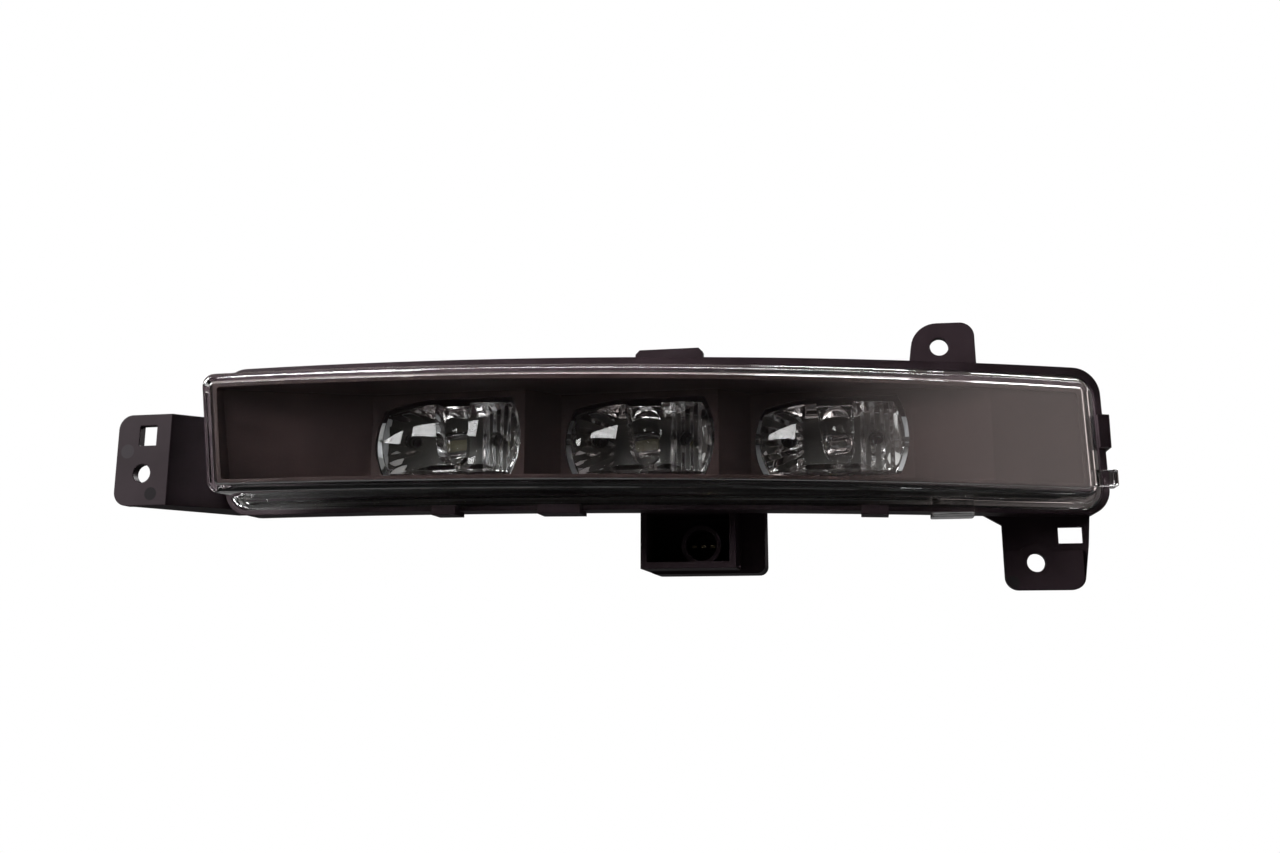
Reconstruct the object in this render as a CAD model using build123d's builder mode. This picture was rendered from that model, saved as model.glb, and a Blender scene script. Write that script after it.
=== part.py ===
# Auxiliary driving light: a long sealed lamp with three clear optics behind one bowed outer lens.
# The origin is the middle of the left fixing hole on its front face.
# +X runs along the lamp, +Y points into the vehicle along the beam axis, +Z is up. Millimetres.
import math
import os

from build123d import *

# Lamp datum, the middle of the lens front, seen from the left fixing hole
lamp_x = 176.0
lamp_z = 11.0

# Outer lens
lens_height = 40.0
lens_left_reach = 146.3
lens_right_reach = 144.0
left_lean = 7.5
right_lean = 1.5
lens_corner = 4.0
lens_wall = 2.5
lens_edge = 2.0
lens_radius = 610.0
lens_sweep = 12.0

# Seam between lens and housing
seam_radius = 660.0
seam_sweep = 10.0
seam_depth = 17.9
foot_width = 3.1
foot_thickness = 2.2
tongue_wall = 2.2
tongue_depth = 6.5
seal_depth = 3.0
seal_gap = 0.05
hook_lead = 3.2
hook_tail = 6.0
hook_wall = 1.5
hook_gap = 0.3
hook_slack = 1.0
hook_root = 1.0
hook_bite = 0.6
lens_hook_inset = 41.0
lens_hook_width = 14.0
lens_end_hook_z = -12.6
lens_end_hook_height = 5.6
first_hook_inset = 72.9
first_hook_width = 8.2
second_hook_inset = 108.3
second_hook_width = 14.0
third_hook_inset = 78.0
third_hook_width = 9.0
end_hook_z = 3.75
end_hook_height = 11.5
cut_overrun = 4.0
step_gap = 0.5

# Housing shell
flange_margin = 5.2
flange_extra_top = 1.2
flange_extra_right = 0.8
flange_thickness = 10.0
slot_width = 3.6
slot_depth = 7.5
channel_wall = 2.0
body_margin = 1.2
housing_wall = 2.5
housing_draft = 1.0
back_depth = 64.0
back_sweep = 9.0
rib_thickness = 1.8
rib_height = 4.5
rib_length = 26.0
rib_pitch = 58.0

# Fixing points
hole_radius = 3.2
tab_thickness = 3.0
left_tab_width = 19.8
left_tab_height = 31.6
left_tab_below = 11.1
arm_thickness = 3.6
web_thickness = 2.5
ear_inset = 49.2
ear_setback = 7.02
ear_z = 33.5
lower_tab_inset = 19.4
lower_tab_setback = 8.75
lower_tab_z = -41.0
lower_pad = 1.2
stop_x = 3.1
stop_width = 23.4
stop_top = 31.0

# Socket hood under the middle
hood_x = 8.25
hood_width = 32.5
hood_front = 32.0
hood_back = 60.0
hood_bottom = -43.5
hood_wall = 2.2
hood_roof = -24.5
collar_x = 12.5
collar_width = 41.0
collar_front = 46.0
collar_drop = 1.0
socket_x = 12.0
socket_z = -35.3
socket_radius = 6.85
socket_bore = 5.3
socket_front = 38.0
socket_floor = 55.0
pin_width = 1.6
pin_thickness = 0.8
pin_pitch = 3.2
pin_front = 44.0
pin_top = -10.6

# Row of optics, stepped back along the sweep
optic_first_x = -70.7
optic_first_y = 10.5
optic_pitch = 63.7
optic_step = 10.8
optic_width = 49.0
optic_height = 24.6
optic_bulge = 3.4
optic_crest = -3.0
optic_fall = 3.2
optic_rim = 3.0
optic_depth = 17.0
optic_back_width = 17.0
optic_back_height = 15.0
flute_count = 5
flute_sag = 0.45
window_width = 10.6
window_offset = 2.0
window_bottom = -9.4
window_depth = 8.0
led_cavity = 3.6
cavity_taper = 20.0
leg_inset = 7.0
leg_radius = 2.4
peg_radius = 1.3
peg_grip = 2.5

# Light sources and their boards
led_size = 4.2
led_height = 1.0
board_gap = 1.0
board_width = 42.0
board_height = 18.0
board_thickness = 1.6
thermal_thickness = 0.4
board_screw_inset = 3.2
board_screw_z = -5.8
fit_gap = 0.15

# Heat sink
sink_plate = 3.5
sink_height = 19.0
sink_ear = 17.0
ear_hole_reach = 10.5
fin_count = 7
fin_thickness = 1.6
fin_depth = 8.0
fin_span = 36.0
sink_screw_z = 5.6
screw_radius = 1.5
screw_length = 9.0
head_radius = 2.7
head_height = 2.0
small_screw_radius = 1.2
small_screw_length = 4.4
small_head_radius = 2.2
small_head_height = 1.4
post_radius = 3.6
side_count = 8

# Bezel
bezel_front_gap = 1.2
bezel_side_gap = 0.5
bezel_wall = 1.4
bezel_skin = 1.8
bezel_setback = 2.0
bezel_lip = 0.8
opening_gap = 1.1
opening_land = 1.4
shoulder_inset = 34.5
bezel_overrun = 5.0
leg_width = 10.0

# Driver board
driver_inset = 20.0
driver_width = 31.0
driver_height = 27.0
driver_standoff = 15.6
driver_screw_inset_x = 3.5
driver_screw_inset_z = 3.7

# Leads and vent
lead_radius = 0.75
lead_lap = 3.6
lead_turn = 1.0
lead_gap = 0.02
lead_pitch = 2.2
vent_x = -124.0
vent_z = 7.0
vent_radius = 4.2
vent_bore = 2.8
vent_length = 7.0
vent_cap_wall = 1.8
vent_cap_length = 5.5
membrane_thickness = 0.4

plan = Plane(origin=(lamp_x, 0, lamp_z), x_dir=(1, 0, 0), z_dir=(0, 0, 1))
front = Plane(origin=(lamp_x, 0, lamp_z), x_dir=(1, 0, 0), z_dir=(0, -1, 0))
span_left = -lens_left_reach - 24.0
span_right = lens_right_reach + 16.0
half_height = lens_height / 2
deep = 2.0 * back_depth


def bow(radius, sweep, depth):
    # A circle through (0, depth) whose normal there is turned by sweep: centre and radius.
    turn = math.radians(sweep)
    return (-radius * math.sin(turn), depth + radius * math.cos(turn), radius)


def deeper(curve, amount):
    return (curve[0], curve[1], curve[2] - amount)


def depth_at(curve, x):
    return curve[1] - math.sqrt(curve[2] ** 2 - (x - curve[0]) ** 2)


def back_at(x):
    return back_depth + x * math.tan(math.radians(back_sweep))


def lens_outline(margin, extra_top=0.0, extra_right=0.0):
    # The lens seen along the beam axis, grown all round by margin.
    top = half_height + margin + extra_top
    low = -half_height - margin
    left_slope = math.tan(math.radians(left_lean))
    right_slope = math.tan(math.radians(right_lean))
    left = -lens_left_reach - margin
    right = lens_right_reach + margin + extra_right
    with BuildSketch(front) as outline:
        with BuildLine():
            Polyline(
                (left - top * left_slope, top),
                (right - top * right_slope, top),
                (right - low * right_slope, low),
                (left - low * left_slope, low),
                close=True,
            )
        make_face()
        fillet(outline.vertices(), max(lens_corner + margin, 1.0))
    return outline.sketch


def front_window(left, right, low, top):
    with BuildSketch(front) as window:
        with Locations(((left + right) / 2, (low + top) / 2)):
            Rectangle(right - left, top - low)
    return window.sketch


def between_bows(near, far):
    middle = (span_left + span_right) / 2
    near_points = [(x, depth_at(near, x)) for x in (span_left, middle, span_right)]
    far_points = [(x, depth_at(far, x)) for x in (span_left, middle, span_right)]
    with BuildSketch(plan) as region:
        with BuildLine():
            ThreePointArc(near_points[0], near_points[1], near_points[2])
            Line(near_points[2], far_points[2])
            ThreePointArc(far_points[0], far_points[1], far_points[2])
            Line(far_points[0], near_points[0])
        make_face()
    return region.sketch


def bow_to_path(near, path):
    middle = (path[0][0] + path[-1][0]) / 2
    near_points = [(x, depth_at(near, x)) for x in (path[0][0], middle, path[-1][0])]
    with BuildSketch(plan) as region:
        with BuildLine():
            ThreePointArc(near_points[0], near_points[1], near_points[2])
            Polyline(near_points[2], *reversed(path), near_points[0])
        make_face()
    return region.sketch


def bowed_block(region, outline, draft=0.0):
    # What lies both inside the plan region and inside the front outline.
    with BuildPart() as block:
        extrude(region, amount=2.0 * lens_height, both=True)
        if draft:
            extrude(outline, amount=-deep, taper=draft, mode=Mode.INTERSECT)
        else:
            extrude(outline, amount=deep, both=True, mode=Mode.INTERSECT)
    return block.part


def bezel_outline(inset):
    return lens_outline(-lens_wall - bezel_side_gap - inset)


def optic_outline(margin):
    # Barrel shape of one optic seen from the front, on its own centre. Its top falls away to the left.
    half = optic_height / 2 + margin
    reach = optic_width / 2 + margin
    side = reach - optic_bulge
    shoulder = half - optic_fall
    with BuildSketch() as barrel:
        with BuildLine():
            Line((optic_crest, half), (side, half))
            ThreePointArc((side, half), (reach, 0), (side, -half))
            Line((side, -half), (-side, -half))
            ThreePointArc((-side, -half), (-reach, -optic_fall / 2), (-side, shoulder))
            TangentArc((optic_crest, half), (-side, shoulder), tangent=(-1, 0))
        make_face()
    return barrel.sketch


lens_bow = bow(lens_radius, lens_sweep, 0.0)
seam_bow = bow(seam_radius, seam_sweep, seam_depth)
bezel_bow = deeper(lens_bow, lens_wall + bezel_front_gap)
stations = [(optic_first_x + k * optic_pitch, optic_first_y + k * optic_step) for k in range(3)]

# Places that follow the outer end of the lens and the ends of a board
ear_x = lens_right_reach - ear_inset
ear_y = depth_at(seam_bow, ear_x) + ear_setback
lower_tab_x = lens_right_reach - lower_tab_inset
lower_tab_y = depth_at(seam_bow, lower_tab_x) + lower_tab_setback
driver_x = lens_right_reach - driver_inset
driver_y = back_at(driver_x) - driver_standoff
driver_screw_x = driver_width / 2 - driver_screw_inset_x
driver_screw_z = driver_height / 2 - driver_screw_inset_z
shoulder_x = lens_right_reach - shoulder_inset
leg_offset = board_width / 2 - leg_inset
board_screw_offset = board_width / 2 - board_screw_inset
screw_clear = screw_radius + fit_gap
small_screw_clear = small_screw_radius + fit_gap
peg_clear = peg_radius + fit_gap
seats = [Location((lamp_x + x, y, lamp_z)) for x, y in stations]

# Depths of the stack behind each optic's front face
board_front = optic_depth + board_gap
board_back = board_front + board_thickness
sink_front = board_back + thermal_thickness
sink_back = sink_front + sink_plate

# Screw places: (x, z, depth of the seat under the head)
sink_left_x = stations[0][0] - board_width / 2 - ear_hole_reach
sink_right_x = stations[2][0] + board_width / 2 + ear_hole_reach
sink_screw_places = [
    (x, z, y + sink_front)
    for x, y in ((sink_left_x, stations[0][1]), (sink_right_x, stations[2][1]))
    for z in (-sink_screw_z, sink_screw_z)
]
driver_screw_places = [
    (driver_x - driver_screw_x, driver_screw_z, driver_y),
    (driver_x + driver_screw_x, -driver_screw_z, driver_y),
]

# Outer lens: bowed face with side walls, a foot all round and a tongue for the housing's groove
lens_solid = bowed_block(between_bows(lens_bow, seam_bow), lens_outline(0.0))
lens_hollow = bowed_block(
    between_bows(deeper(lens_bow, lens_wall), deeper(seam_bow, tongue_depth)), lens_outline(-lens_wall)
)
foot_ring = bowed_block(between_bows(seam_bow, deeper(seam_bow, foot_thickness)), lens_outline(foot_width))
tongue_ring = bowed_block(between_bows(seam_bow, deeper(seam_bow, tongue_depth)), lens_outline(foot_width))
tongue_core = bowed_block(
    between_bows(deeper(seam_bow, foot_thickness), deeper(seam_bow, tongue_depth + cut_overrun)),
    lens_outline(foot_width - tongue_wall),
)

# Hooks run from the part's wall out past the flange edge, then back along it
hook_front = deeper(seam_bow, -hook_lead)
hook_plate = between_bows(hook_front, deeper(seam_bow, -hook_gap))
hook_strap = between_bows(hook_front, deeper(seam_bow, hook_tail))
flange_low = -half_height - flange_margin
flange_right = lens_right_reach + flange_margin + flange_extra_right
clear_low = flange_low - hook_gap
clear_right = flange_right + hook_gap + hook_slack
hook_right = lens_right_reach - lens_hook_inset
hook_left = hook_right - lens_hook_width
end_low = lens_end_hook_z - lens_end_hook_height / 2
end_high = lens_end_hook_z + lens_end_hook_height / 2
hook_end = clear_right + hook_wall
hook_under = clear_low - hook_wall
lens_hooks = [
    bowed_block(hook_plate, front_window(hook_left, hook_right, hook_under, hook_root - half_height)),
    bowed_block(hook_strap, front_window(hook_left, hook_right, hook_under, clear_low)),
    bowed_block(hook_plate, front_window(lens_right_reach - hook_root, hook_end, end_low, end_high)),
    bowed_block(hook_strap, front_window(clear_right, hook_end, end_low, end_high)),
]

with BuildPart() as lens_face:
    add(lens_solid)
    bowed_faces = lens_face.faces().filter_by(GeomType.CYLINDER).sort_by(SortBy.AREA)[-2:]
    fillet(bowed_faces.sort_by(Axis.Y)[0].edges(), lens_edge)

with BuildPart() as outer_lens:
    add(lens_face.part)
    add(tongue_ring)
    add(tongue_core, mode=Mode.SUBTRACT)
    add(foot_ring)
    add(lens_hooks)
    add(lens_hollow, mode=Mode.SUBTRACT)

# Bead of sealant in the groove, round the end of the lens tongue
seal_ring = bowed_block(
    between_bows(deeper(seam_bow, slot_depth - seal_depth), deeper(seam_bow, slot_depth - seal_gap)),
    lens_outline(slot_width - seal_gap),
)
seal_core = bowed_block(
    between_bows(seam_bow, deeper(seam_bow, slot_depth + cut_overrun)), lens_outline(seal_gap)
)
tongue_bed_out = bowed_block(
    between_bows(seam_bow, deeper(seam_bow, tongue_depth + seal_gap)), lens_outline(foot_width + seal_gap)
)
tongue_bed_in = bowed_block(
    between_bows(seam_bow, deeper(seam_bow, tongue_depth + cut_overrun)),
    lens_outline(foot_width - tongue_wall - seal_gap),
)
with BuildPart() as tongue_bed:
    add(tongue_bed_out)
    add(tongue_bed_in, mode=Mode.SUBTRACT)

with BuildPart() as lens_seal:
    add(seal_ring)
    add(seal_core, mode=Mode.SUBTRACT)
    add(tongue_bed.part, mode=Mode.SUBTRACT)

# Rear housing: flange with a groove for the lens, drafted shell, three fixing tabs and the socket hood
flange_block = bowed_block(
    between_bows(seam_bow, deeper(seam_bow, flange_thickness)),
    lens_outline(flange_margin, flange_extra_top, flange_extra_right),
)
body_block = bowed_block(
    bow_to_path(deeper(seam_bow, slot_depth), [(x, back_at(x)) for x in (span_left, span_right)]),
    lens_outline(body_margin),
    housing_draft,
)
body_cavity = bowed_block(
    bow_to_path(
        deeper(seam_bow, flange_thickness), [(x, back_at(x) - housing_wall) for x in (span_left, span_right)]
    ),
    lens_outline(body_margin - housing_wall),
    housing_draft,
)
front_opening = bowed_block(
    between_bows(deeper(seam_bow, -cut_overrun), deeper(seam_bow, flange_thickness + step_gap)),
    lens_outline(-channel_wall),
)
inner_step = bowed_block(
    between_bows(deeper(seam_bow, -cut_overrun), deeper(seam_bow, foot_thickness + step_gap)),
    lens_outline(step_gap),
)
groove_out = bowed_block(
    between_bows(deeper(seam_bow, -cut_overrun), deeper(seam_bow, slot_depth)), lens_outline(slot_width)
)
groove_in = bowed_block(
    between_bows(deeper(seam_bow, -2.0 * cut_overrun), deeper(seam_bow, slot_depth + cut_overrun)),
    lens_outline(0.0),
)
with BuildPart() as lens_groove:
    add(groove_out)
    add(groove_in, mode=Mode.SUBTRACT)

housing_hooks = []
hook_starts = (
    (first_hook_inset - lens_left_reach, first_hook_width),
    (second_hook_inset - lens_left_reach, second_hook_width),
    (lens_right_reach - third_hook_inset, third_hook_width),
)
hook_low = flange_low - hook_wall
for left, width in hook_starts:
    plate_window = front_window(left, left + width, hook_low, -half_height - hook_gap)
    strap_window = front_window(left, left + width, hook_low, flange_low + hook_bite)
    housing_hooks.append(bowed_block(hook_plate, plate_window))
    housing_hooks.append(bowed_block(hook_strap, strap_window))
end_low = end_hook_z - end_hook_height / 2
end_high = end_hook_z + end_hook_height / 2
end_start = lens_right_reach + 3.0 * hook_gap
end_plate_window = front_window(end_start, flange_right + hook_wall, end_low, end_high)
end_strap_window = front_window(flange_right - hook_bite, flange_right + hook_wall, end_low, end_high)
housing_hooks.append(bowed_block(hook_plate, end_plate_window))
housing_hooks.append(bowed_block(hook_strap, end_strap_window))

with BuildPart() as left_bracket:
    # Flat plate with the fixing hole, then an arm slanting back to the shell between two webs
    fold_x = left_tab_width / 2
    plate_top = left_tab_height - left_tab_below
    arm_end = lamp_x - lens_left_reach + housing_wall + 6.0
    with BuildSketch(Plane.XZ) as plate_outline:
        with Locations((0, left_tab_height / 2 - left_tab_below)):
            Rectangle(left_tab_width, left_tab_height)
        fillet(plate_outline.vertices().group_by(Axis.X)[0], 5.0)
    extrude(amount=-tab_thickness)
    with BuildSketch(Plane.XY.offset(-left_tab_below)):
        with BuildLine():
            Polyline(
                (fold_x - arm_thickness, 0),
                (fold_x, 0),
                (arm_end, arm_end - fold_x),
                (arm_end - arm_thickness, arm_end - fold_x),
                close=True,
            )
        make_face()
    extrude(amount=left_tab_height)
    with BuildSketch(Plane.XY.offset(-left_tab_below)):
        with BuildLine():
            Polyline(
                (-fold_x + 5.0, tab_thickness / 2),
                (fold_x, tab_thickness / 2),
                (arm_end, arm_end - fold_x),
                (arm_end, arm_end - fold_x + 6.0),
                (fold_x + 8.0, arm_end - fold_x + 6.0),
                close=True,
            )
        make_face()
    extrude(amount=web_thickness)
    with BuildSketch(Plane.XY.offset(plate_top - web_thickness)):
        with BuildLine():
            Polyline(
                (fold_x - 7.0, tab_thickness / 2),
                (fold_x, tab_thickness / 2),
                (arm_end, arm_end - fold_x),
                (arm_end - 9.0, arm_end - fold_x),
                close=True,
            )
        make_face()
    extrude(amount=web_thickness)

with BuildPart() as upper_ear:
    with BuildSketch(front.offset(-ear_y)):
        with Locations((ear_x - 0.8, ear_z - 0.4)):
            Circle(8.9)
        with Locations((ear_x + 6.9, ear_z + 3.3)):
            Circle(5.1)
        with Locations((ear_x + 0.6, half_height + 1.6)):
            Rectangle(23.2, 4.0)
        make_hull()
    extrude(amount=-tab_thickness)

with BuildPart() as lower_tab:
    with BuildSketch(front.offset(-lower_tab_y - lower_pad)) as tab_outline:
        with BuildLine():
            Polyline(
                (lower_tab_x - 17.0, -half_height + 1.0),
                (lower_tab_x - 17.0, -half_height - 4.0),
                (lower_tab_x - 10.6, lower_tab_z + 13.2),
                (lower_tab_x - 10.4, lower_tab_z - 9.3),
                (lower_tab_x + 15.4, lower_tab_z - 9.3),
                (lower_tab_x + 17.6, lower_tab_z + 6.0),
                (lower_tab_x + 19.0, -half_height + 1.0),
                close=True,
            )
        make_face()
        fillet(tab_outline.vertices().group_by(Axis.Y)[0], 4.5)
    extrude(amount=-tab_thickness)
    # The lower half is proud of the upper half, with a round relief about the hole
    with BuildSketch(front.offset(-lower_tab_y)) as pad_outline:
        with Locations((lower_tab_x + 2.5, lower_tab_z - 2.6)):
            Rectangle(25.8, 13.4)
        fillet(pad_outline.vertices().group_by(Axis.Y)[0], 4.5)
        with Locations((lower_tab_x, lower_tab_z)):
            Circle(6.6)
    extrude(amount=-lower_pad)

with BuildPart() as socket_hood:
    with BuildSketch(front.offset(-hood_front)):
        with Locations((hood_x, (hood_bottom - half_height + 1.0) / 2)):
            Rectangle(hood_width, -half_height + 1.0 - hood_bottom)
    extrude(amount=hood_front - hood_back)
    with BuildSketch(front.offset(-collar_front)) as collar_outline:
        with Locations((collar_x, (hood_bottom - collar_drop - half_height + 1.0) / 2)):
            Rectangle(collar_width, -half_height + 1.0 - hood_bottom + collar_drop)
        fillet(collar_outline.vertices().group_by(Axis.Y)[0], 3.0)
    extrude(amount=collar_front - hood_back)
    with BuildSketch(front.offset(-hood_front)):
        with Locations((hood_x, (hood_bottom + hood_wall + hood_roof) / 2)):
            Rectangle(hood_width - 2 * hood_wall, hood_roof - hood_bottom - hood_wall)
    extrude(amount=hood_front - socket_floor, mode=Mode.SUBTRACT)
    with BuildSketch(front.offset(-socket_front)):
        with Locations((socket_x, socket_z)):
            Circle(socket_radius)
            Circle(socket_bore, mode=Mode.SUBTRACT)
    extrude(amount=socket_front - socket_floor)

with BuildPart() as rear_housing:
    add(flange_block)
    add(body_block)
    add(left_bracket.part)
    add(upper_ear.part)
    add(lower_tab.part)
    add(socket_hood.part)
    add(housing_hooks)
    # Locating stop on top of the flange
    stop_y = depth_at(seam_bow, stop_x) + flange_thickness
    with BuildSketch(front.offset(-stop_y + tab_thickness)) as stop_outline:
        with Locations((stop_x, (stop_top + half_height) / 2)):
            Rectangle(stop_width, stop_top - half_height)
        chamfer(stop_outline.vertices().group_by(Axis.Y)[-1], 1.5)
    extrude(amount=-tab_thickness)
    # Stiffening ribs down the back, with one along it
    for k in range(-2, 3):
        rib_x = k * rib_pitch
        with BuildSketch(front.offset(-back_at(rib_x) + housing_wall / 2)):
            with Locations((rib_x, 0)):
                Rectangle(rib_thickness, rib_length)
        extrude(amount=-rib_height - housing_wall / 2)
    long_rib = 2.0 * rib_pitch
    with BuildSketch(plan.offset(-rib_thickness / 2)):
        with BuildLine():
            Polyline(
                (-long_rib, back_at(-long_rib) - housing_wall / 2),
                (long_rib, back_at(long_rib) - housing_wall / 2),
                (long_rib, back_at(long_rib) + rib_height),
                (-long_rib, back_at(-long_rib) + rib_height),
                close=True,
            )
        make_face()
    extrude(amount=rib_thickness)
    # Vent stub
    with BuildSketch(front.offset(-back_at(vent_x) + housing_wall / 2)):
        with Locations((vent_x, vent_z)):
            Circle(vent_radius)
    extrude(amount=-vent_length - housing_wall / 2)
    add(body_cavity, mode=Mode.SUBTRACT)
    add(front_opening, mode=Mode.SUBTRACT)
    add(inner_step, mode=Mode.SUBTRACT)
    add(lens_groove.part, mode=Mode.SUBTRACT)
    # Posts for the heat sink and for the driver board
    for x, z, seat in sink_screw_places:
        with BuildSketch(front.offset(-seat - sink_plate)):
            with Locations((x, z)):
                RegularPolygon(post_radius, side_count, major_radius=False)
        extrude(amount=seat + sink_plate - back_at(x) + housing_wall / 2)
        with BuildSketch(front.offset(-seat - sink_plate)):
            with Locations((x, z)):
                RegularPolygon(screw_radius, side_count, major_radius=False)
        extrude(amount=-screw_length + sink_plate - 0.5, mode=Mode.SUBTRACT)
    for x, z, seat in driver_screw_places:
        with BuildSketch(front.offset(-seat - board_thickness)):
            with Locations((x, z)):
                RegularPolygon(post_radius, side_count, major_radius=False)
        extrude(amount=seat + board_thickness - back_at(x) + housing_wall / 2)
        with BuildSketch(front.offset(-seat - board_thickness)):
            with Locations((x, z)):
                RegularPolygon(small_screw_radius, side_count, major_radius=False)
        extrude(amount=-small_screw_length, mode=Mode.SUBTRACT)
    # Fixing holes and the square clip holes beside them
    with BuildSketch(Plane.XZ):
        Circle(hole_radius)
        with Locations((1.4, 13.1)):
            Rectangle(6.4, 7.0)
    extrude(amount=-tab_thickness, mode=Mode.SUBTRACT)
    with BuildSketch(front.offset(-ear_y)):
        with Locations((ear_x, ear_z)):
            Circle(hole_radius)
    extrude(amount=-tab_thickness, mode=Mode.SUBTRACT)
    with BuildSketch(front.offset(-lower_tab_y)):
        with Locations((lower_tab_x, lower_tab_z)):
            Circle(hole_radius)
        with Locations((lower_tab_x + 11.9, lower_tab_z + 9.3)):
            Rectangle(8.3, 5.6)
    extrude(amount=-lower_pad - tab_thickness, mode=Mode.SUBTRACT)
    # Vent bore and the slots that hold the pins
    with BuildSketch(front.offset(-back_at(vent_x) + 2.0 * housing_wall)):
        with Locations((vent_x, vent_z)):
            Circle(vent_bore)
    extrude(amount=-vent_length - 2.0 * housing_wall, mode=Mode.SUBTRACT)
    with BuildSketch(plan.offset(socket_z - pin_thickness)):
        with Locations((socket_x, socket_floor + 3.0)):
            with GridLocations(pin_pitch, 1, 3, 1):
                Rectangle(pin_width, pin_thickness)
    extrude(amount=-half_height + 4.0 - socket_z, mode=Mode.SUBTRACT)
    with BuildSketch(front.offset(-socket_floor)):
        with Locations((socket_x, socket_z)):
            with GridLocations(pin_pitch, 1, 3, 1):
                Rectangle(pin_width, pin_thickness)
    extrude(amount=-3.0, mode=Mode.SUBTRACT)

# Bezel: a trough with stepped walls, open round each optic
half_open = optic_width / 2 + opening_gap + opening_land
bezel_left = -lens_left_reach - bezel_overrun
bezel_right = lens_right_reach + bezel_overrun
bezel_path = [(bezel_left, depth_at(bezel_bow, bezel_left) + bezel_lip)]
for x, y in stations:
    bezel_path.append((x - half_open, y + bezel_setback))
    bezel_path.append((x + half_open, y + bezel_setback))
bezel_path.append((shoulder_x, depth_at(bezel_bow, shoulder_x) + bezel_lip))
bezel_path.append((bezel_right, depth_at(bezel_bow, bezel_right) + bezel_lip))
bezel_block = bowed_block(
    bow_to_path(bezel_bow, [(x, y + bezel_skin) for x, y in bezel_path]), bezel_outline(0.0)
)
bezel_trough = bowed_block(
    bow_to_path(deeper(bezel_bow, -cut_overrun), bezel_path), bezel_outline(bezel_wall)
)

with BuildPart() as bezel:
    add(bezel_block)
    add(bezel_trough, mode=Mode.SUBTRACT)
    for x, y in stations:
        # Legs above and below that seat against the inside of the housing's channel
        leg_front = depth_at(deeper(seam_bow, foot_thickness + step_gap), x + leg_width / 2)
        leg_back = depth_at(seam_bow, x) + flange_thickness - 1.0
        leg_outer = half_height - channel_wall
        leg_inner = half_height - lens_wall - bezel_side_gap - bezel_wall
        with BuildSketch(front.offset(-leg_front)):
            with Locations((x, (leg_outer + leg_inner) / 2), (x, -(leg_outer + leg_inner) / 2)):
                Rectangle(leg_width, leg_outer - leg_inner)
        extrude(amount=leg_front - leg_back)
        with BuildSketch(front.offset(-y + cut_overrun)):
            with Locations((x, 0)):
                add(optic_outline(opening_gap))
        extrude(amount=-bezel_setback - bezel_skin - 2.0 * cut_overrun, mode=Mode.SUBTRACT)

# One optic on its own centre: fluted flanks that reflect inside, a pocket in front and a recess for the light
half_width = optic_width / 2
flank_start = Vector(half_width, optic_rim)
flank_end = Vector(optic_back_width / 2, optic_depth)
with BuildLine() as flank:
    flank_arc = SagittaArc(flank_start, flank_end, 1.6)
flank_line = []
for k in range(2 * flute_count + 1):
    # Every second point stands out, so that each flute has two flat facets
    on_flank = flank_arc @ (k / (2 * flute_count))
    across = flank_arc % (k / (2 * flute_count))
    proud = flute_sag * (k % 2)
    flank_line.append((on_flank.X + proud * across.Y, on_flank.Y - proud * across.X))

with BuildPart() as optic:
    with BuildSketch(Plane.XY):
        with BuildLine():
            Line((-half_width, 0), (half_width, 0))
            Line((half_width, 0), (half_width, optic_rim))
            Polyline(*flank_line)
            Line((flank_end.X, flank_end.Y), (-flank_end.X, flank_end.Y))
            Polyline(*[(-x, y) for x, y in flank_line])
            Line((-half_width, optic_rim), (-half_width, 0))
        make_face()
    extrude(amount=optic_height, both=True)
    with BuildSketch(Plane.XZ):
        add(optic_outline(0.0))
    extrude(amount=2.0 * optic_depth, both=True, mode=Mode.INTERSECT)
    with BuildSketch(Plane.YZ):
        with BuildLine():
            Polyline(
                (0, -optic_height / 2),
                (optic_rim, -optic_height / 2),
                (optic_depth, -optic_back_height / 2),
                (optic_depth, optic_back_height / 2),
                (optic_rim, optic_height / 2),
                (0, optic_height / 2),
                close=True,
            )
        make_face()
    extrude(amount=optic_width, both=True, mode=Mode.INTERSECT)
    with BuildSketch(Plane.XZ):
        window_low = window_bottom + window_width / 2
        with Locations((window_offset, window_low)):
            Circle(window_width / 2)
        with Locations((window_offset, (window_low + optic_height) / 2)):
            Rectangle(window_width, optic_height - window_low)
    extrude(amount=-window_depth, mode=Mode.SUBTRACT)
    with BuildSketch(Plane.XZ.offset(-optic_depth)):
        Circle(led_cavity)
    extrude(amount=led_cavity, taper=cavity_taper, mode=Mode.SUBTRACT)
    with BuildSketch(Plane.XZ.offset(-optic_depth / 2)):
        with GridLocations(2 * leg_offset, 1, 2, 1):
            RegularPolygon(leg_radius, side_count, major_radius=False)
    extrude(amount=optic_depth / 2 - board_front)
    with BuildSketch(Plane.XZ.offset(-board_front)):
        with GridLocations(2 * leg_offset, 1, 2, 1):
            RegularPolygon(peg_radius, side_count, major_radius=False)
    extrude(amount=board_front - sink_front - peg_grip)

with BuildPart() as light_source:
    with BuildSketch(Plane.XZ.offset(-board_front + led_height)):
        Rectangle(led_size, led_size)
    extrude(amount=-led_height * 0.6)
    with BuildSketch(Plane.XZ.offset(-board_front + led_height * 0.4)):
        Rectangle(led_size + 0.8, led_size + 0.8)
    extrude(amount=-led_height * 0.4)

with BuildPart() as board:
    with BuildSketch(Plane.XZ.offset(-board_front)):
        Rectangle(board_width, board_height)
        with GridLocations(2 * leg_offset, 1, 2, 1):
            RegularPolygon(peg_clear, side_count, major_radius=False, mode=Mode.SUBTRACT)
        with Locations((0, board_screw_z)):
            with GridLocations(2 * board_screw_offset, 1, 2, 1):
                RegularPolygon(small_screw_clear, side_count, major_radius=False, mode=Mode.SUBTRACT)
    extrude(amount=-board_thickness)

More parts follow.
